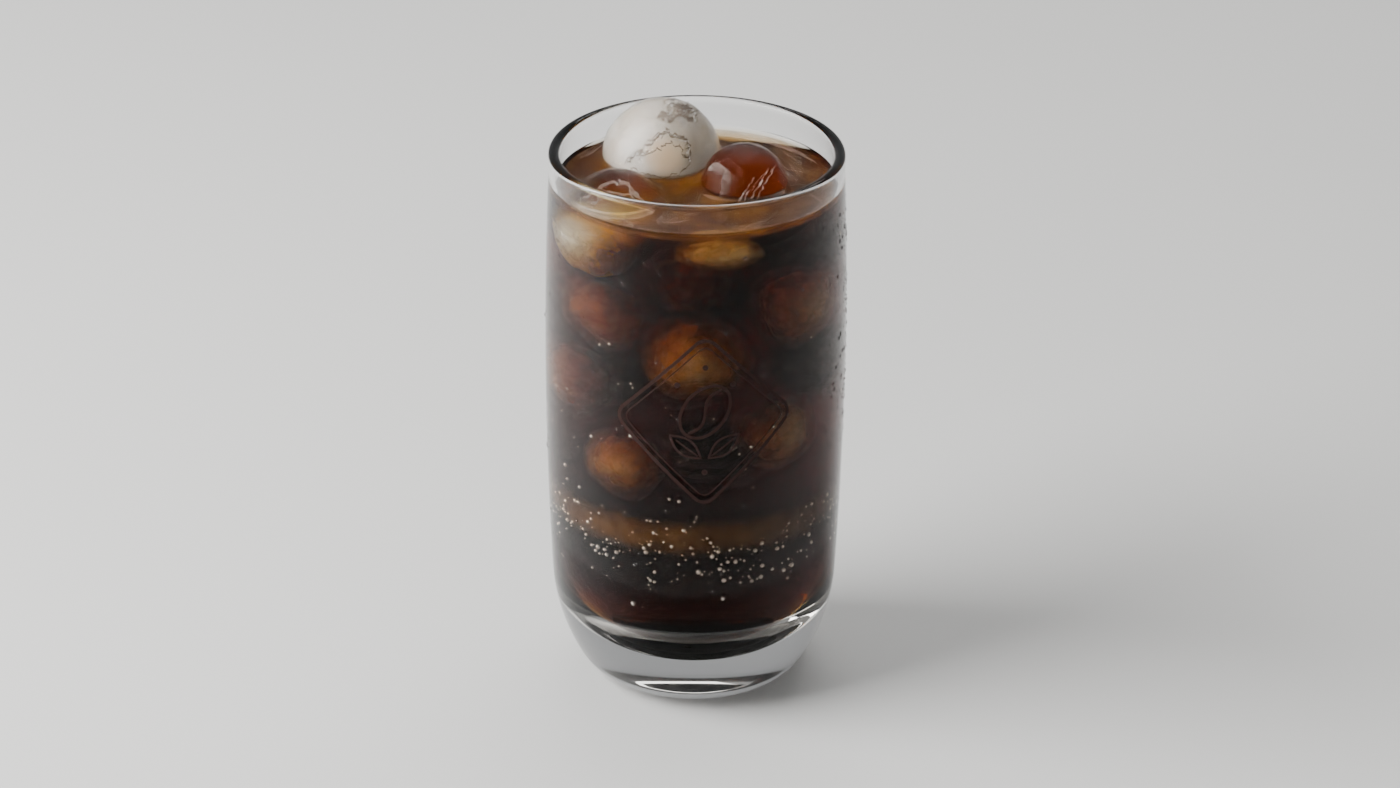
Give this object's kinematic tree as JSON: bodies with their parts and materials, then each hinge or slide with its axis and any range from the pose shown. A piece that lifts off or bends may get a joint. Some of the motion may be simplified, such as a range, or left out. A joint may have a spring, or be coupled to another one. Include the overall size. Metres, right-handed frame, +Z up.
{
  "type": "glass of iced coffee",
  "caption": "Tall clear glass tumbler with a rounded heel and thick base, filled almost to the rim with dark cold brew coffee over round balls of ice.",
  "frame": {"origin": "middle of the foot, on the table", "axes": "+Z up along the axis of the glass, -Y towards the side of the glass that carries the printed badge"},
  "size_m": [0.0698, 0.0698, 0.1374],
  "materials": {
    "glass": "clear polished",
    "coffee": "wet, dark and clear at the edges",
    "ice": "wet and partly cloudy"
  },
  "bodies": {
    "root": {"glass": "glass", "coffee": "coffee", "ice_back": "ice", "ice_left": "ice", "ice_right": "ice"}
  },
  "joints": []
}
